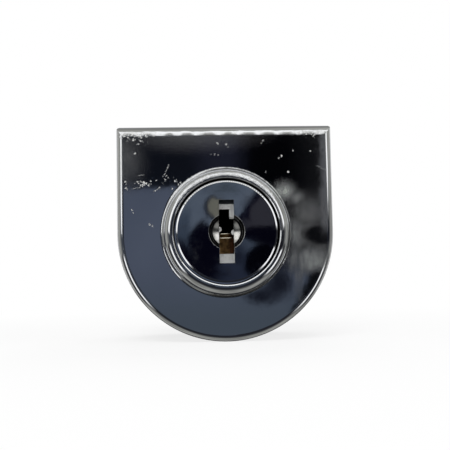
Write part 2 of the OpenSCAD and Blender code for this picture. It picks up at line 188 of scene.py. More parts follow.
# Colours of the drawn surroundings that the chrome mirrors.
SCREEN_DIM = (0.080, 0.097, 0.140, 1.0)
SCREEN_PALE = (0.112, 0.133, 0.183, 1.0)
SCREEN_FOOT = (0.076, 0.096, 0.123, 1.0)
SCREEN_SHADE = (0.010, 0.012, 0.020, 1.0)
NIGHT = (0.016, 0.018, 0.030, 1.0)
NIGHT_BLACK = (0.0012, 0.0014, 0.0022, 1.0)
NIGHT_RIGHT = (0.0050, 0.0055, 0.0065, 1.0)
NIGHT_LEFT = (0.006, 0.0075, 0.012, 1.0)
NIGHT_CLOUD = (0.028, 0.032, 0.046, 1.0)
FRAME_DARK = (0.006, 0.007, 0.012, 1.0)
FRAME_PANEL = (0.036, 0.036, 0.047, 1.0)
RIM_LEFT = (0.06, 0.07, 0.085, 1.0)
RIM_RIGHT = (0.014, 0.015, 0.02, 1.0)
RIM_BELOW = (0.024, 0.026, 0.032, 1.0)
RIM_STRIP = (0.135, 0.137, 0.145, 1.0)
BLACK = (0.0, 0.0, 0.0, 1.0)
OUTER_GREY = (1.05, 1.05, 0.97, 1.0)
STRIP_GREY = (0.20, 0.20, 0.20, 1.0)
STRIP_DARK = (0.06, 0.06, 0.065, 1.0)
SIDE_PANEL = (1.5, 1.5, 1.48, 1.0)
TOP_PANEL = (1.5, 1.5, 1.47, 1.0)
SKY = (1.0, 1.0, 1.02, 1.0)
WINDOW = (1.25, 1.25, 1.24, 1.0)

# Colours of the view that the cap mirrors.
CAP_WINDOW_DIM = (0.088, 0.112, 0.152, 1.0)
CAP_WINDOW_PALE = (0.124, 0.152, 0.198, 1.0)
CAP_WINDOW_TOP = (0.046, 0.060, 0.074, 1.0)
CAP_WINDOW_LEFT = (0.048, 0.066, 0.098, 1.0)
CAP_WINDOW_FOOT = (0.030, 0.040, 0.060, 1.0)
CAP_WINDOW_CORNER = (0.170, 0.180, 0.206, 1.0)
CAP_LAMP_RIM = (0.016, 0.020, 0.034, 1.0)
CAP_LAMP = (0.175, 0.173, 0.142, 1.0)
CAP_FRAME = (0.003, 0.003, 0.010, 1.0)
CAP_PANEL = (0.036, 0.036, 0.046, 1.0)
CAP_UNDER_PANEL = (0.002, 0.002, 0.006, 1.0)
CAP_LOWER_HALF = (0.002, 0.002, 0.007, 1.0)
CAP_STREAK = (0.052, 0.068, 0.098, 1.0)
CAP_STREAK_LOW = (0.019, 0.025, 0.043, 1.0)
CAP_STREAK_RIGHT = (0.011, 0.012, 0.018, 1.0)
CAP_BOTTOM = (0.024, 0.031, 0.054, 1.0)
CAP_CORNER = (0.001, 0.001, 0.003, 1.0)

# Two dim shapes before the screen: centre and half axes in degrees.
SCREEN_SHAPES = [(6.5, -0.5, 1.4, 1.5), (5.1, -1.5, 1.6, 0.9)]

# The row of lights above: the middle of one light and the step to the next, as shares of the dome's radius.
LIGHT_AT = 0.0348
LIGHT_STEP = 0.0261


class Shader:
    """The node tree of a material or world, with a short method for each kind of node used here."""

    def __init__(self, name, owners=bpy.data.materials):
        self.owner = owners.new(name)
        self.owner.use_nodes = True
        self.tree = self.owner.node_tree
        self.tree.nodes.clear()

    def node(self, kind, **settings):
        made = self.tree.nodes.new("ShaderNode" + kind)
        for key, value in settings.items():
            setattr(made, key, value)
        return made

    def feed(self, socket, value):
        """Links a socket, or sets a constant."""
        if isinstance(value, bpy.types.NodeSocket):
            self.tree.links.new(value, socket)
        else:
            socket.default_value = value

    def call(self, kind, inputs, output=0, **settings):
        """Adds a node, fills its inputs by name or place, and gives one of its outputs."""
        made = self.node(kind, **settings)
        for key, value in inputs.items():
            self.feed(made.inputs[key], value)
        return made.outputs[output]

    def math(self, operation, a, b=0.0):
        return self.call("Math", {0: a, 1: b}, operation=operation)

    def plus(self, a, b):
        return self.math("ADD", a, b)

    def minus(self, a, b):
        return self.math("SUBTRACT", a, b)

    def times(self, a, b):
        return self.math("MULTIPLY", a, b)

    def over(self, a, b):
        return self.math("DIVIDE", a, b)

    def most(self, a, b):
        return self.math("MAXIMUM", a, b)

    def least(self, a, b):
        return self.math("MINIMUM", a, b)

    def vector(self, operation, a, b=(0.0, 0.0, 0.0)):
        return self.call("VectorMath", {0: a, 1: b}, operation=operation)

    def scaled(self, a, factor):
        return self.call("VectorMath", {0: a, "Scale": factor}, operation="SCALE")

    def length(self, a):
        return self.call("VectorMath", {0: a}, output="Value", operation="LENGTH")

    def split(self, a):
        return self.node_outputs("SeparateXYZ", a)

    def node_outputs(self, kind, a):
        made = self.node(kind)
        self.feed(made.inputs[0], a)
        return list(made.outputs)

    def join(self, x, y, z):
        return self.call("CombineXYZ", {0: x, 1: y, 2: z})

    def rise(self, value, low, high, to_low=0.0, to_high=1.0):
        """A smooth step from to_low to to_high as value goes from low to high."""
        inputs = {0: value, 1: low, 2: high, 3: to_low, 4: to_high}
        return self.call("MapRange", inputs, interpolation_type="SMOOTHSTEP")

    def between(self, value, low, high, soft):
        """1 between low and high, with soft edges."""
        up = self.rise(value, low - soft, low + soft)
        down = self.rise(value, high - soft, high + soft, 1.0, 0.0)
        return self.times(up, down)

    def noise(self, place, scale, detail=2.0, roughness=0.5):
        inputs = {"Vector": place, "Scale": scale, "Detail": detail, "Roughness": roughness}
        return self.call("TexNoise", inputs)

    def mix(self, share, a, b):
        return self.call("Mix", {0: share, 6: a, 7: b}, output=2, data_type="RGBA")

    def blend_value(self, share, a, b):
        return self.call("Mix", {0: share, 2: a, 3: b}, data_type="FLOAT")

    def total(self, values, operation="ADD"):
        result = values[0]
        for value in values[1:]:
            result = self.math(operation, result, value)
        return result

    def place_mm(self):
        """The point on the object, in mm in the row frame."""
        coordinates = self.node("TexCoord").outputs["Object"]
        return self.scaled(coordinates, 1.0 / MM)

    def bump(self, height_mm, normal=None):
        """A normal bent by a height in mm."""
        inputs = {"Height": height_mm, "Distance": MM, "Strength": 1.0}
        if normal is not None:
            inputs["Normal"] = normal
        return self.call("Bump", inputs)

    def soft_edges(self, radius_mm):
        return self.call("Bevel", {"Radius": radius_mm * MM}, samples=6)

    def close(self, surface, output="OutputMaterial"):
        """Ends the tree in an output node, and gives its material or world."""
        self.feed(self.node(output).inputs["Surface"], surface)
        return self.owner

    def finish(self, **inputs):
        """Ends the tree in one Principled shader."""
        named = {key.replace("_", " "): value for key, value in inputs.items()}
        return self.close(self.call("BsdfPrincipled", named))


def grey(level, tint=(1.0, 1.0, 1.0)):
    return (level * tint[0], level * tint[1], level * tint[2], 1.0)


def without(shader, mask, other):
    """The part of a mask outside another one."""
    return shader.times(mask, shader.minus(1.0, other))


def specks_mask(shader, x, z, specks):
    """1 on each speck."""
    masks = []
    for speck_x, speck_z, radius in specks:
        offset = shader.join(shader.minus(x, speck_x), shader.minus(z, speck_z), 0.0)
        masks.append(shader.rise(shader.length(offset), radius * 0.45, radius, 1.0, 0.0))
    return shader.total(masks, "MAXIMUM")


def line_marks_mask(shader, x, z, scratches):
    """1 along each line, thinning out at its ends."""
    masks = []
    for x0, z0, x1, z1, half_width in scratches:
        length = math.hypot(x1 - x0, z1 - z0)
        along_x, along_z = (x1 - x0) / length, (z1 - z0) / length
        from_x = shader.minus(x, (x0 + x1) / 2)
        from_z = shader.minus(z, (z0 + z1) / 2)
        along = shader.plus(shader.times(from_x, along_x), shader.times(from_z, along_z))
        across = shader.minus(shader.times(from_x, along_z), shader.times(from_z, along_x))
        reach = shader.rise(shader.math("ABSOLUTE", along), length * 0.3, length * 0.6, 1.0, 0.0)
        line = shader.rise(shader.math("ABSOLUTE", across), half_width * 0.4, half_width * 1.2, 1.0, 0.0)
        masks.append(shader.times(reach, line))
    return shader.total(masks, "MAXIMUM")


def oval_distance(shader, x, z, centre_x, centre_z, half_x, half_z):
    """How far a point lies from the centre of an ellipse: 1 on its border."""
    offset_x = shader.over(shader.minus(x, centre_x), half_x)
    offset_z = shader.over(shader.minus(z, centre_z), half_z)
    return shader.length(shader.join(offset_x, offset_z, 0.0))


def patches_mask(shader, x, z, patches, core):
    """Soft ellipses, as strong as each says, that fade from the core share of their size outwards."""
    masks = []
    for *oval, strength in patches:
        masks.append(shader.rise(oval_distance(shader, x, z, *oval), core, 1.15, strength, 0.0))
    return shader.total(masks, "MAXIMUM")


def scattered_dust(shader, place, per_mm, share, size=0.07):
    """Fine dust: that share of the cells of a Voronoi pattern hold one speck, sized against the cell."""
    voronoi = shader.node("TexVoronoi")
    shader.feed(voronoi.inputs["Vector"], place)
    shader.feed(voronoi.inputs["Scale"], per_mm)
    red = shader.node_outputs("SeparateColor", voronoi.outputs["Color"])[0]
    chosen = shader.rise(shader.minus(red, share), 0.0, -0.01)
    speck = shader.rise(voronoi.outputs["Distance"], size * 0.45, size, 1.0, 0.0)
    return shader.times(chosen, speck)


def shaken(shader, value, noise, reach):
    """A coordinate pushed about by noise, which makes the border of a mark ragged."""
    return shader.plus(value, shader.times(shader.minus(noise, 0.5), reach))


def front_wear_and_glints(shader, place, where):
    """Dust, scuffs and scratches on the body's front, with painted glints among the scuffs and scratches.
    """
    x, y, z = shader.split(place)
    sparkle = shader.noise(shader.vector("MULTIPLY", place, (1.0, 1.0, 1.5)), 4.6, 3.0, 0.7)
    glitter = shader.noise(place, 7.5, 2.0, 0.6)
    ragged_x = shaken(shader, x, sparkle, 0.8)
    ragged_z = shaken(shader, z, glitter, 0.8)
    dust = shader.most(specks_mask(shader, ragged_x, ragged_z, SPECKS),
                       scattered_dust(shader, place, 0.8, 0.03))
    rubbed_and_glinting = patches_mask(shader, x, z, SCUFFS_AND_GLINTS, 0.1)
    scuff_and_glint = scattered_dust(shader, shader.join(ragged_x, y, ragged_z), 3.6, rubbed_and_glinting, 0.46)
    broken = shader.rise(sparkle, 0.44, 0.56)
    scratch_and_glint = shader.times(line_marks_mask(shader, ragged_x, ragged_z, SCRATCHES_AND_GLINTS), broken)
    return [shader.times(mark, where) for mark in (dust, scuff_and_glint, scratch_and_glint)]


def front_haze(shader, place, ripple, where):
    """Greasy smears with clean patches in them, and the thin film under the upper edge."""
    x, _, z = shader.split(place)
    streaks = shader.noise(shader.vector("MULTIPLY", place, (1.6, 1.0, 0.5)), 1.0, 3.0, 0.55)
    soft_x = shaken(shader, x, streaks, 1.6)
    soft_z = shaken(shader, z, ripple, 2.0)
    clean = patches_mask(shader, soft_x, soft_z, CLEAN_PATCHES, 0.55)
    smear = without(shader, patches_mask(shader, soft_x, soft_z, SMEARS, -0.2), clean)
    smear = shader.times(smear, shader.rise(streaks, 0.25, 0.7, 0.7, 1.0))
    smear = shader.math("POWER", smear, 1.4)
    film = patches_mask(shader, x, z, FILM, -0.2)
    return [shader.times(haze, where) for haze in (smear, film)]


def ring_grain_and_shade(shader, place, fine):
    """Grain on the upper part of the ring, and painted shade in its foot, stronger right of centre, and in
    the gap round the cap.
    """
    x, y, z = shader.split(place)
    radius = shader.length(shader.join(x, z, 0.0))
    grain = shader.times(shader.between(radius, *RING_TOP, 0.2), shader.rise(z, 3.0, 7.5))
    grain = shader.times(grain, shader.rise(y, FACE_Y + 0.8, FACE_Y + 0.4))
    gap = shader.between(radius, *CAP_GAP, 0.03)
    gap = shader.times(gap, shader.rise(y, FACE_Y - 0.6, FACE_Y - 1.0))
    foot = shader.between(shader.plus(radius, shader.times(fine, 0.3)), *RING_FOOT, 0.12)
    foot = shader.times(foot, shader.rise(x, -5.0, -1.5, 0.1, 0.85))
    foot = shader.times(foot, shader.rise(y, FACE_Y - 0.8, FACE_Y - 0.4))
    return shader.times(fine, grain), shader.most(gap, foot)


def chrome_front():
    """Bright chrome of the body: grain on the ring, painted shade in the ring's foot and in the gap round
    the cap, dust, scuffs and scratches with painted glints among them, smears and a thin film.
    """
    shader = Shader("chrome_housing_bright")
    place = shader.place_mm()
    _, y, z = shader.split(place)
    on_front = shader.rise(y, FACE_Y + 0.3, FACE_Y + 0.1)
    on_flat = shader.times(on_front, shader.rise(z, ROUNDING_Z + 0.2, ROUNDING_Z - 0.1))
    ripple = shader.noise(place, 0.16, 3.0)
    fine = shader.noise(place, 2.2, 4.0, 0.6)
    dust, scuff_and_glint, scratch_and_glint = front_wear_and_glints(shader, place, on_front)
    smear, film = front_haze(shader, place, ripple, on_flat)
    # The grain is a bump; the painted shade darkens the ring's foot and the gap round the cap.
    grain, painted_shade = ring_grain_and_shade(shader, place, fine)
    milky = shader.most(smear, film)
    matt = shader.most(dust, scuff_and_glint)
    # Dust, scuffs and scratches, with painted glints among the scuffs and scratches.
    wear_and_glints = shader.most(matt, scratch_and_glint)

    height = shader.total([
        shader.times(ripple, 0.012),
        shader.times(grain, 0.09),
        shader.times(shader.most(scratch_and_glint, scuff_and_glint), -0.012),
        shader.times(dust, 0.03),
    ])
    normal = shader.bump(height, shader.soft_edges(0.12))
    hazed = shader.mix(milky, grey(1.0, CHROME), MILKY)
    colour = shader.mix(painted_shade, shader.mix(wear_and_glints, hazed, DUST_AND_GLINT), SHADE_BLACK)
    roughness = shader.total([
        shader.times(fine, 0.05),
        shader.times(smear, 0.26),
        shader.times(wear_and_glints, 0.5),
        shader.times(painted_shade, 0.4),
        0.015,
    ])
    metallic = shader.minus(shader.rise(matt, 0.0, 1.0, 1.0, 0.1), shader.times(milky, 0.34))
    metallic = shader.most(metallic, 0.0)
    return shader.finish(Base_Color=colour, Roughness=roughness, Metallic=metallic, Normal=normal)


def cap_shade(shader, place):
    """Painted shade round the cap's rim, in the gap, and on the bevel of its key guide."""
    x, y, z = shader.split(place)
    radius = shader.length(shader.join(x, z, 0.0))
    ragged = shader.plus(radius, shader.times(shader.noise(place, 2.4, 3.0), 0.12))
    bevel = shader.between(ragged, *GUIDE_BEVEL, 0.03)
    bevel = shader.times(bevel, shader.rise(y, FACE_Y - 2.25, FACE_Y - 2.35))
    rim = shader.rise(radius, CAP_GAP[0] - 0.05, CAP_GAP[0] + 0.01)
    return shader.most(bevel, rim)


def chrome_plain(name, haze=0.06, soft=0.1, shade_mask=None):
    """Bright chrome with faint ripple, haze and a little dust."""
    shader = Shader(name)
    place = shader.place_mm()
    ripple = shader.noise(place, 0.2, 3.0)
    fine = shader.noise(place, 2.5, 4.0, 0.6)
    cloud = shader.rise(shader.noise(place, 0.45, 3.0), 0.5, 0.8)
    dust = scattered_dust(shader, place, 0.7, 0.05)
    height = shader.total([
        shader.times(ripple, 0.006),
        shader.times(fine, 0.0006),
        shader.times(dust, 0.02),
    ])
    normal = shader.bump(height, shader.soft_edges(soft))
    colour = shader.mix(dust, shader.mix(cloud, grey(1.0, CHROME), grey(0.92, CHROME)), DUST_AND_GLINT)
    roughness = shader.total([
        shader.times(fine, 0.05),
        shader.times(cloud, haze),
        shader.times(dust, 0.5),
        0.015,
    ])
    # Painted shade where the mask says: darker and rougher there.
    if shade_mask is not None:
        painted_shade = shade_mask(shader, place)
        colour = shader.mix(painted_shade, colour, SHADE_BLACK)
        roughness = shader.most(roughness, shader.times(painted_shade, 0.4))
    return shader.finish(Base_Color=colour, Roughness=roughness, Metallic=1.0, Normal=normal)


def satin_metal(name, bright, dark, rough, grain, stretch=(1.0, 1.0, 1.0), tarnish=0.5, edge=0.06):
    """A drawn or cast metal: grain along one way, patches of tarnish, soft edges."""
    shader = Shader(name)
    place = shader.place_mm()
    lines = shader.noise(shader.vector("MULTIPLY", place, stretch), 6.0, 4.0, 0.65)
    patches = shader.rise(shader.noise(place, 0.9, 4.0, 0.6), 0.42, 0.68)
    pits = scattered_dust(shader, place, 1.6, 0.12)
    colour = shader.mix(shader.times(patches, tarnish), bright, dark)
    colour = shader.mix(shader.times(shader.rise(lines, 0.3, 0.75), 0.3), colour, dark)
    height = shader.total([
        shader.times(lines, grain),
        shader.times(pits, -0.02),
    ])
    normal = shader.bump(height, shader.soft_edges(edge))
    roughness = shader.total([
        shader.times(lines, 0.16),
        shader.times(patches, 0.14),
        rough,
    ])
    return shader.finish(Base_Color=colour, Roughness=roughness, Metallic=1.0, Normal=normal)


def brass_wafer(name, bar_top):
    """Stamped brass, dark with handling, with painted shade towards the right and a painted highlight along
    the top of the wafer's bar.
    """
    shader = Shader(name)
    place = shader.place_mm()
    x, _, z = shader.split(place)
    grain = shader.noise(shader.vector("MULTIPLY", place, (0.8, 2.0, 2.0)), 5.0, 4.0, 0.65)
    patches = shader.rise(shader.noise(place, 1.3, 4.0, 0.6), 0.36, 0.66)
    # Painted shade: darker and redder towards the right.
    shaded_right = shader.rise(shader.plus(x, shader.times(grain, 0.5)), 0.4, 1.0)
    # A strip under the top of the bar leans back and is painted bright as a highlight.
    below = shader.minus(bar_top, z)
    strip = shader.times(shader.rise(below, 0.1, 0.07), shader.rise(below, -0.05, 0.0))
    strip = shader.times(strip, shader.rise(grain, 0.2, 0.5, 0.6, 1.0))
    lean = shader.times(shader.most(shader.minus(0.09, below), 0.0), -0.36)
    lean = shader.times(lean, shader.rise(below, -0.05, 0.0))
    brown = shader.mix(shaded_right, BRASS, BRASS_RED_SHADE)
    colour = shader.mix(shader.times(patches, 0.7), brown, BRASS_TARNISH)
    colour = shader.mix(strip, colour, BRASS_HIGHLIGHT)
    height = shader.plus(shader.times(grain, 0.008), lean)
    roughness = shader.blend_value(strip, shader.plus(shader.times(grain, 0.2), 0.2), 0.12)
    normal = shader.bump(height, shader.soft_edges(0.06))
    return shader.finish(Base_Color=colour, Roughness=roughness, Metallic=1.0, Normal=normal)


def zinc_plug():
    """Cast zinc of the plug: satin head, polished key guide, and painted shade in the keyway, round the
    guide's rim and over its bowl, with the cap's shadow painted above the slot.
    """
    shader = Shader("zinc_plug_cast")
    place = shader.place_mm()
    x, y, z = shader.split(place)
    grain = shader.noise(place, 5.0, 4.0, 0.65)
    patches = shader.rise(shader.noise(place, 1.1, 4.0, 0.6), 0.45, 0.7)
    radius = shader.length(shader.join(x, z, 0.0))
    inside = shader.times(shader.between(x, -KEYWAY_HALF_X, KEYWAY_HALF_X, 0.05),
                          shader.between(z, -KEYWAY_HALF_Z, KEYWAY_HALF_Z, 0.05))
    # Painted shade deep in the keyway and round the guide's rim, and the cap's shadow painted above the
    # slot.
    deep = shader.times(inside, shader.rise(y, FACE_Y - 1.35, FACE_Y - 0.8))
    cap_shadow = shader.rise(shader.plus(z, shader.times(grain, 0.2)), 4.4, 4.55)
    beside = shader.rise(shader.math("ABSOLUTE", x), SLOT_HALF - 0.025, SLOT_HALF + 0.025)
    guide_rim = shader.between(radius, GUIDE_RADIUS - 0.3, GUIDE_RADIUS + 0.02, 0.06)
    guide_rim = shader.times(guide_rim, beside)
    plug_shade = shader.total([deep, cap_shadow, guide_rim], "MAXIMUM")
    guide = shader.times(shader.rise(radius, GUIDE_RADIUS, GUIDE_RADIUS - 0.1), beside)
    bright = shader.mix(guide, ZINC, ZINC_GUIDE)
    metal = shader.mix(shader.times(patches, 0.45), bright, ZINC_TARNISH)
    # The guide's bowl is painted darker over its upper half and at its foot, as shade.
    bowl_shade = shader.rise(shader.plus(z, shader.times(grain, 1.2)), 0.35, 0.85)
    bowl_shade = shader.most(bowl_shade, shader.rise(z, -1.05, -1.5, 0.0, 0.7))
    metal = shader.mix(shader.times(bowl_shade, guide), metal, ZINC_BOWL_SHADE)
    colour = shader.mix(plug_shade, metal, KEYWAY_SHADE)
    colour = shader.mix(cap_shadow, colour, UNDER_CAP_SHADOW)
    normal = shader.bump(shader.times(grain, 0.008), shader.soft_edges(0.06))
    roughness = shader.blend_value(guide, shader.plus(shader.times(grain, 0.2), 0.45), 0.2)
    roughness = shader.most(roughness, shader.times(plug_shade, 0.6))
    return shader.finish(Base_Color=colour, Roughness=roughness, Metallic=1.0, Normal=normal)


def rubber(name):
    """Black moulded rubber: fine grain, dull wear and pale lint."""
    shader = Shader(name)
    place = shader.place_mm()
    grain = shader.noise(place, 7.0, 3.0, 0.6)
    worn = shader.rise(shader.noise(place, 0.5, 3.0), 0.45, 0.75)
    lint = scattered_dust(shader, place, 1.2, 0.06)
    colour = shader.mix(worn, RUBBER, RUBBER_WORN)
    colour = shader.mix(lint, colour, LINT)
    height = shader.plus(shader.times(grain, 0.02), shader.times(lint, 0.02))
    roughness = shader.plus(shader.times(worn, 0.2), 0.55)
    return shader.finish(Base_Color=colour, Roughness=roughness, Normal=shader.bump(height))


def dress_nodes():
    """Gives each CAD node its material."""
    looks = {
        "front_housing": chrome_front(),
        "plug_cap": chrome_plain("chrome_cap_polished", soft=0.04, shade_mask=cap_shade),
        "back_plate": chrome_plain("chrome_back_plate"),
        "clamp_screws": satin_metal("screw_nickel", NICKEL, NICKEL_DULL, 0.14, 0.003),
        "plug": zinc_plug(),
        "retaining_clip": satin_metal("clip_phosphated", PHOSPHATE, grey(0.05), 0.35, 0.004),
        "bolt": satin_metal("bolt_nickel", NICKEL, BOLT_DULL, 0.16, 0.003,
                            stretch=(3.0, 3.0, 0.12), tarnish=0.3),
        "bolt_cover": satin_metal("cover_zinc_plate", ZINC_PLATE, grey(0.38), 0.28, 0.003,
                                  stretch=(0.15, 3.0, 3.0)),
        "cover_screws": satin_metal("screw_zinc", SCREW_ZINC, grey(0.36), 0.25, 0.003),
    }
    for index, bar_top in enumerate(WAFER_BARS, start=1):
        looks[f"wafer_{index}"] = brass_wafer(f"brass_wafer_{index}", bar_top)
    for node, look in looks.items():
        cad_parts[node].material_slots[0].material = look


def piece_from(bm, name, material, body, node):
    """Makes a piece that replaces a CAD node and rides on its body."""
    bmesh.ops.recalc_face_normals(bm, faces=bm.faces)
    mesh = bpy.data.meshes.new(name)
    bm.to_mesh(mesh)
    bm.free()
    mesh.materials.append(material)
    mesh.shade_smooth()
    piece = bpy.data.objects.new(name, mesh)
    bpy.context.scene.collection.objects.link(piece)
    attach(piece, body)
    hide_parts(node)
    return piece


def rubber_pads():
    """The rubber on both faces of the glass and over its edge, with rounded rims."""
    material = rubber("pad_rubber_moulded")
    rim = 0.16 * MM

    def slab(name, node, outline, shift):
        bm = bmesh.new()
        face = bm.faces.new([bm.verts.new(point) for point in outline])
        grown = bmesh.ops.extrude_face_region(bm, geom=[face])
        moved = [item for item in grown["geom"] if isinstance(item, bmesh.types.BMVert)]
        bmesh.ops.translate(bm, verts=moved, vec=shift)
        along = shift.normalized()
        rims = [e for e in bm.edges if abs((e.verts[1].co - e.verts[0].co).normalized().dot(along)) < 0.5]
        bmesh.ops.bevel(bm, geom=rims, offset=rim, segments=3, profile=0.5, affect="EDGES")
        piece = piece_from(bm, name, material, "housing", node)
        piece.data.set_sharp_from_angle(angle=math.radians(50))
        return piece

    for node in ("front_pad", "rear_pad"):
        low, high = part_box(node)
        steps = 72
        arc = [Vector((high.x * math.cos(a), low.y, high.x * math.sin(a)))
               for a in (math.pi + math.pi * step / steps for step in range(steps + 1))]
        top = [Vector((high.x, low.y, high.z)), Vector((low.x, low.y, high.z))]
        slab(f"{node}_rubber", node, arc + top, Vector((0, high.y - low.y, 0)))
    low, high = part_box("edge_pad")
    corners = [(low.x, low.y), (high.x, low.y), (high.x, high.y), (low.x, high.y)]
    outline = [Vector((x, y, low.z)) for x, y in corners]
    slab("edge_pad_rubber", "edge_pad", outline, Vector((0, 0, high.z - low.z)))


def spring_coil(low, high):
    """The mesh of a coil spring with closed ends that fills a box."""
    wire = 0.1 * MM
    sides, steps_per_turn = 10, 24
    active_turns, end_turns = 4.0, 0.75
    turns = active_turns + 2 * end_turns
    spare = 0.997
    centre = (low + high) / 2
    coil = (high.x - low.x) / 2 - wire
    climb = (high.z - low.z - 2 * wire) * spare
    end_climb = end_turns * 2 * wire
    bm = bmesh.new()
    rings = []
    count = int(turns * steps_per_turn)
    for step in range(count + 1):
        turn = turns * step / count
        if turn < end_turns:
            z = end_climb * turn / end_turns
        elif turn > turns - end_turns:
            z = climb - end_climb * (turns - turn) / end_turns
        else:
            z = end_climb + (climb - 2 * end_climb) * (turn - end_turns) / active_turns
        angle = math.tau * turn
        away = Vector((math.cos(angle), math.sin(angle), 0))
        middle = Vector((centre.x, centre.y, low.z + wire + z)) + away * coil
        rings.append([
            bm.verts.new(middle + wire * (away * math.cos(b) + Vector((0, 0, math.sin(b)))))
            for b in (math.tau * side / sides for side in range(sides))])
    for ring, following in zip(rings, rings[1:]):
        for side in range(sides):
            after = (side + 1) % sides
            bm.faces.new((ring[side], ring[after], following[after], following[side]))
    bm.faces.new(rings[0])
    bm.faces.new(rings[-1])
    return bm


def wafer_springs():
    """Coil springs, one under each wafer's ear."""
    material = satin_metal("spring_wire", SPRING_STEEL, SPRING_DULL, 0.18, 0.002)
    for index in range(1, len(WAFER_BARS) + 1):
        node = f"wafer_spring_{index}"
        low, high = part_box(node)
        bm = spring_coil(low, high)
        piece = piece_from(bm, f"wafer_spring_{index}_coil", material, "cylinder", node)
        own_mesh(piece)


def dark_front(shader, direction, azimuth, elevation):
    """What stands before the lock: a grey-blue screen low on the left, night above it and on the right."""
    cloud = shader.noise(shader.scaled(direction, 14.0), 1.0, 3.0)
    screen = shader.mix(cloud, SCREEN_DIM, SCREEN_PALE)
    screen = shader.mix(shader.rise(elevation, 1.0, -4.0), screen, SCREEN_FOOT)
    night = shader.mix(shader.rise(azimuth, 2.6, 4.8), NIGHT, NIGHT_BLACK)
    night = shader.mix(shader.rise(azimuth, 7.0, 9.5), night, NIGHT_RIGHT)
    night = shader.mix(shader.rise(azimuth, 1.8, -0.5), night, NIGHT_LEFT)
    high_cloud = shader.times(shader.rise(cloud, 0.4, 0.7), shader.rise(elevation, 10.5, 13.0))
    night = shader.mix(high_cloud, night, NIGHT_CLOUD)

    # The screen's upper border drops at both ends, and night covers its right side in two steps.
    border = shader.least(shader.rise(azimuth, -0.5, 3.0, 6.7, 2.7),
                          shader.rise(azimuth, -6.4, -5.6, 2.6, 6.7))
    above = shader.rise(shader.minus(elevation, border), -0.15, 0.25)
    to_right = shader.times(shader.rise(azimuth, 4.0, 6.4), shader.rise(elevation, -0.2, 1.2))
    slanted = shader.minus(azimuth, shader.times(elevation, 0.45))
    low_right = shader.times(shader.rise(slanted, 8.4, 8.8), shader.rise(elevation, -5.5, -3.5))
    far_right = shader.times(shader.rise(azimuth, 11.4, 13.0), shader.rise(elevation, 2.0, 4.0))
    covered = shader.total([above, to_right, low_right], "MAXIMUM")
    front = shader.mix(without(shader, covered, far_right), screen, night)

    # A dark frame with a grey panel in it on the left, and the two dim shapes.
    beside = shader.times(shader.rise(azimuth, -5.6, -5.9), shader.between(elevation, -7.2, 2.6, 0.5))
    front = shader.mix(beside, front, FRAME_DARK)
    panel = shader.times(beside, shader.rise(azimuth, -6.7, -7.1))
    front = shader.mix(panel, front, FRAME_PANEL)
    for shape in SCREEN_SHAPES:
        shade = shader.rise(oval_distance(shader, azimuth, elevation, *shape), 1.2, 0.3)
        front = shader.mix(shade, front, SCREEN_SHADE)
    return front


def panels_round(shader, front, x, z, off, azimuth, elevation, drift):
    """Round the front: white panels left, right and above with gaps between them, and grey beyond."""
    spread = shader.most(shader.length(shader.join(x, z, 0.0)), 0.001)
    upward = shader.over(z, spread)
    top = shader.rise(upward, 0.5, 0.72)
    bottom = shader.rise(upward, -0.58, -0.74)
    right = shader.rise(shader.over(x, spread), -0.1, 0.1)
    low = shader.rise(upward, -0.1, -0.2)
    high = shader.rise(upward, 0.05, 0.3)

    # The dim rim of the front, and the grey that it fades to.
    rim = shader.mix(right, RIM_LEFT, RIM_RIGHT)
    rim = shader.mix(bottom, rim, RIM_BELOW)
    near = shader.mix(shader.rise(off, 16.0, 19.0), front, rim)
    side_strip = shader.times(shader.rise(azimuth, 9.7, 9.9), shader.rise(azimuth, 27.0, 23.0))
    side_strip = shader.times(side_strip, shader.between(elevation, 3.5, 12.0, 0.8))
    near = shader.mix(side_strip, near, RIM_STRIP)
    level = shader.blend_value(right, 0.38, 0.34)
    level = shader.blend_value(top, level, shader.rise(off, 66.0, 130.0, 0.48, 0.26))
    level = shader.times(level, shader.rise(drift, 0.3, 0.7, 0.72, 1.28))
    outer = shader.mix(level, BLACK, OUTER_GREY)
    fade_to = shader.blend_value(high, 78.0, 52.0)
    colour = shader.mix(shader.rise(shader.minus(off, fade_to), -40.0, 0.0), near, outer)

    # The top panel is a row of lights, so its lower border is scalloped.
    row = shader.math("COSINE", shader.times(shader.minus(x, LIGHT_AT), math.tau / LIGHT_STEP))
    mottle = shader.noise(shader.join(shader.times(x, 110.0), 0.0, shader.times(z, 8.0)), 1.0, 2.0)
    mottle = shader.minus(mottle, 0.5)
    lights_from = shader.plus(shader.rise(row, -0.6, 1.0, 50.0, 22.0), shader.times(mottle, 24.0))
    lights_to = shader.plus(66.0, shader.times(mottle, 50.0))
    white_from = shader.blend_value(top, shader.blend_value(low, 30.5, 34.0), lights_from)
    white_to = shader.blend_value(top, shader.blend_value(low, 51.0, 53.0), lights_to)
    gap_low = shader.blend_value(right, -0.16, -0.24)
    gap_high = shader.blend_value(right, 0.09, 0.16)
    gap = shader.times(shader.rise(shader.minus(upward, gap_low), -0.04, 0.04),
                       shader.rise(shader.minus(upward, gap_high), 0.04, -0.04))
    white = shader.times(shader.rise(shader.minus(off, white_from), -1.5, 1.5),
                         shader.rise(shader.minus(off, white_to), 1.5, -1.5))
    white = without(shader, without(shader, white, gap), bottom)

    # A dark strip runs along the outside of the side panels.
    strip_ends = (shader.blend_value(low, 72.0, 94.0), shader.blend_value(low, 64.0, 84.0))
    strip = shader.times(shader.rise(shader.minus(off, white_to), 1.0, 5.0), shader.rise(off, *strip_ends))
    strip = without(shader, without(shader, strip, bottom), high)
    colour = shader.mix(strip, colour, shader.mix(low, STRIP_GREY, STRIP_DARK))
    return shader.mix(white, colour, shader.mix(top, SIDE_PANEL, TOP_PANEL))


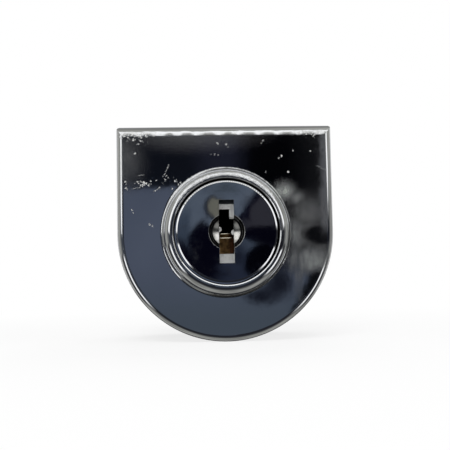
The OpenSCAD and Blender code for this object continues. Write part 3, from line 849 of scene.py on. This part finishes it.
def room_behind(shader, z, azimuth, drift):
    """Behind the lock: dark below, pale above, with two tall windows on each side."""
    turn = shader.math("ABSOLUTE", azimuth)
    pitch = shader.math("DEGREES", shader.math("ARCSINE", z))
    sky = shader.rise(shader.plus(pitch, shader.times(drift, 16.0)), -4.0, 22.0, 0.07, 0.62)
    sky = shader.times(sky, shader.rise(pitch, 28.0, 52.0, 1.0, 0.5))
    windows = shader.most(shader.between(turn, 117.0, 133.0, 1.5),
                          shader.between(turn, 158.0, 171.0, 2.0))
    windows = shader.times(windows, shader.between(pitch, -24.0, 38.0, 3.0))
    return shader.mix(windows, shader.mix(sky, BLACK, SKY), WINDOW)


def studio_pattern(shader):
    """What the chrome mirrors, drawn on the dome by its direction from the body's front."""
    position = shader.node("NewGeometry").outputs["Position"]
    direction = shader.vector("NORMALIZE", shader.vector("SUBTRACT", position, tuple(FACE_CENTRE)))
    x, y, z = shader.split(direction)
    ahead = shader.times(y, -1.0)
    off = shader.math("DEGREES", shader.math("ARCCOSINE", ahead))
    azimuth = shader.math("DEGREES", shader.math("ARCTAN2", x, ahead))
    elevation = shader.math("DEGREES", shader.math("ARCTAN2", z, ahead))
    drift = shader.noise(shader.scaled(direction, 2.6), 1.0, 2.0)
    front = dark_front(shader, direction, azimuth, elevation)
    colour = panels_round(shader, front, x, z, off, azimuth, elevation, drift)
    return shader.mix(shader.rise(off, 112.0, 128.0), colour, room_behind(shader, z, azimuth, drift))


def cap_view(shader):
    """What the hollow cap mirrors, drawn in the cap's own mm: a grey-blue window over dark shapes."""
    position = shader.node("NewGeometry").outputs["Position"]
    offset = shader.vector("SUBTRACT", tuple(CARD_CENTRE), position)
    x, _, z = shader.split(shader.scaled(offset, 1.0 / (CARD_SCALE * MM)))

    def oval(centre_x, centre_z, half_x, half_z, soft):
        distance = oval_distance(shader, x, z, centre_x, centre_z, half_x, half_z)
        return shader.rise(distance, 1.0 + soft, 1.0 - soft)

    cloud = shader.noise(shader.join(x, 0.0, z), 0.5, 3.0)
    colour = shader.mix(cloud, CAP_WINDOW_DIM, CAP_WINDOW_PALE)
    colour = shader.mix(shader.rise(z, 5.8, 7.2), colour, CAP_WINDOW_TOP)
    colour = shader.mix(shader.rise(x, -5.4, -6.8), colour, CAP_WINDOW_LEFT)
    colour = shader.mix(shader.rise(z, 0.5, -5.5), colour, CAP_WINDOW_FOOT)
    upper_right = shader.times(shader.rise(x, 2.5, 5.0), shader.rise(z, 5.0, 6.5))
    colour = shader.mix(upper_right, colour, CAP_WINDOW_CORNER)
    # A lamp shade with a dark rim.
    colour = shader.mix(oval(-1.9, 3.85, 1.85, 2.0, 0.1), colour, CAP_LAMP_RIM)
    colour = shader.mix(oval(-1.75, 3.9, 1.25, 1.6, 0.2), colour, CAP_LAMP)
    # A grey panel with a dark frame on the right, and black under it.
    colour = shader.mix(oval(8.26, 2.2, 5.8, 4.7, 0.04), colour, CAP_FRAME)
    colour = shader.mix(oval(8.7, 2.2, 5.1, 3.9, 0.05), colour, CAP_PANEL)
    lower_right = shader.mix(shader.rise(x, -1.0, 0.5), colour, CAP_UNDER_PANEL)
    colour = shader.mix(shader.rise(z, 0.75, 0.5), colour, lower_right)
    # The dark lower half, a blue streak through it, and black on both sides of the streak.
    colour = shader.mix(oval(-1.2, -2.7, 5.5, 5.1, 0.06), colour, CAP_LOWER_HALF)
    streak = shader.times(shader.rise(shader.minus(x, shader.times(z, 0.45)), 3.0, 4.2),
                          shader.rise(shader.plus(z, shader.times(x, 0.2)), -0.6, -1.3))
    blue = shader.mix(shader.rise(z, -2.4, -4.2), CAP_STREAK, CAP_STREAK_LOW)
    blue = shader.mix(shader.rise(x, 3.6, 5.4), blue, CAP_STREAK_RIGHT)
    colour = shader.mix(streak, colour, blue)
    colour = shader.mix(oval(0.4, -6.3, 2.2, 0.9, 0.4), colour, CAP_BOTTOM)
    below = shader.most(shader.minus(-1.75, z), 0.0)
    corner = shader.times(shader.minus(x, 2.2), below)
    return shader.mix(shader.rise(corner, 1.9, 2.5), colour, CAP_CORNER)


def stage_object(name, bm, material):
    """Makes a thing of the set, which isn't part of the lock."""
    mesh = bpy.data.meshes.new(name)
    bm.to_mesh(mesh)
    bm.free()
    mesh.materials.append(material)
    made = bpy.data.objects.new(name, mesh)
    bpy.context.scene.collection.objects.link(made)
    return made


def seen_share(shader):
    """1 for a camera, mirror or glass ray."""
    path = shader.node("LightPath")
    kinds = ("Is Camera Ray", "Is Glossy Ray", "Is Transmission Ray")
    return shader.total([path.outputs[kind] for kind in kinds], "MAXIMUM")


def floor():
    """A pale floor that takes the lock's shadow and fades to plain white further off."""
    shader = Shader("floor_pale")
    white = shader.call("Emission", {"Color": grey(1.0)})
    matt = shader.call("BsdfDiffuse", {"Color": grey(0.86)})
    distance = shader.length(shader.node("NewGeometry").outputs["Position"])
    plain = shader.rise(distance, 0.04, 0.14, 0.78, 1.0)
    share = shader.times(seen_share(shader), plain)
    material = shader.close(shader.call("MixShader", {0: share, 1: matt, 2: white}))
    bm = bmesh.new()
    bmesh.ops.create_grid(bm, x_segments=1, y_segments=1, size=FLOOR_SIZE)
    bmesh.ops.translate(bm, verts=bm.verts, vec=Vector((0, 0, FLOOR_Z)))
    stage_object("floor", bm, material).visible_glossy = False


def mirrored_only(name, bm, pattern):
    """Makes a glowing thing of the set that only mirror rays see."""
    shader = Shader(name + "_glow")
    material = shader.close(shader.call("Emission", {"Color": pattern(shader)}))
    made = stage_object(name, bm, material)
    made.visible_camera = False
    made.visible_diffuse = False
    made.visible_transmission = False
    made.visible_shadow = False


def mirrored_set():
    """The dome that the chrome mirrors, and the card before the cap."""
    bm = bmesh.new()
    bmesh.ops.create_icosphere(bm, subdivisions=5, radius=DOME_RADIUS)
    bmesh.ops.translate(bm, verts=bm.verts, vec=FACE_CENTRE)
    mirrored_only("studio_dome", bm, studio_pattern)
    bm = bmesh.new()
    bmesh.ops.create_circle(bm, cap_ends=True, segments=64, radius=CARD_RADIUS)
    bmesh.ops.rotate(bm, verts=bm.verts, matrix=Matrix.Rotation(math.radians(90), 3, "X"))
    bmesh.ops.translate(bm, verts=bm.verts, vec=CARD_CENTRE)
    mirrored_only("cap_card", bm, cap_view)


def white_surround():
    """A world that looks white and lights matt things more dimly."""
    shader = Shader("white_surround", bpy.data.worlds)
    strength = shader.rise(seen_share(shader), 0.0, 1.0, 0.45, 1.0)
    background = shader.call("Background", {"Color": grey(1.0), "Strength": strength})
    bpy.context.scene.world = shader.close(background, "OutputWorld")


def outward(azimuth, elevation):
    """The direction from the lock's front to a place so many degrees round it and above it."""
    a, e = math.radians(azimuth), math.radians(elevation)
    return Vector((math.sin(a) * math.cos(e), -math.cos(a) * math.cos(e), math.sin(e)))


def lamps():
    """Lamps that light matt things and that the chrome doesn't mirror."""
    for name, (azimuth, elevation, distance, size, power) in LAMPS.items():
        data = bpy.data.lights.new(name, "AREA")
        data.size = size
        data.energy = power
        made = bpy.data.objects.new(name, data)
        away = outward(azimuth, elevation)
        made.location = FACE_CENTRE + away * distance
        made.rotation_euler = away.to_track_quat("Z", "Y").to_euler()
        made.visible_glossy = False
        bpy.context.scene.collection.objects.link(made)


def camera():
    """The camera at the photograph's angle."""
    data = bpy.data.cameras.new("camera")
    data.lens = CAMERA_LENS
    data.sensor_width = CAMERA_SENSOR
    data.clip_start = 1 * MM
    made = bpy.data.objects.new("camera", data)
    away = outward(CAMERA_AZIMUTH, CAMERA_ELEVATION)
    level = away.to_track_quat("Z", "Y").to_matrix().to_4x4()
    roll = Matrix.Rotation(math.radians(CAMERA_ROLL), 4, "Z")
    made.matrix_world = Matrix.Translation(CAMERA_AIM + away * CAMERA_DISTANCE) @ level @ roll
    bpy.context.scene.collection.objects.link(made)
    bpy.context.scene.camera = made


bpy.context.scene.view_settings.view_transform = "Standard"
camera()
floor()
mirrored_set()
white_surround()
lamps()
dress_nodes()
rubber_pads()
wafer_springs()
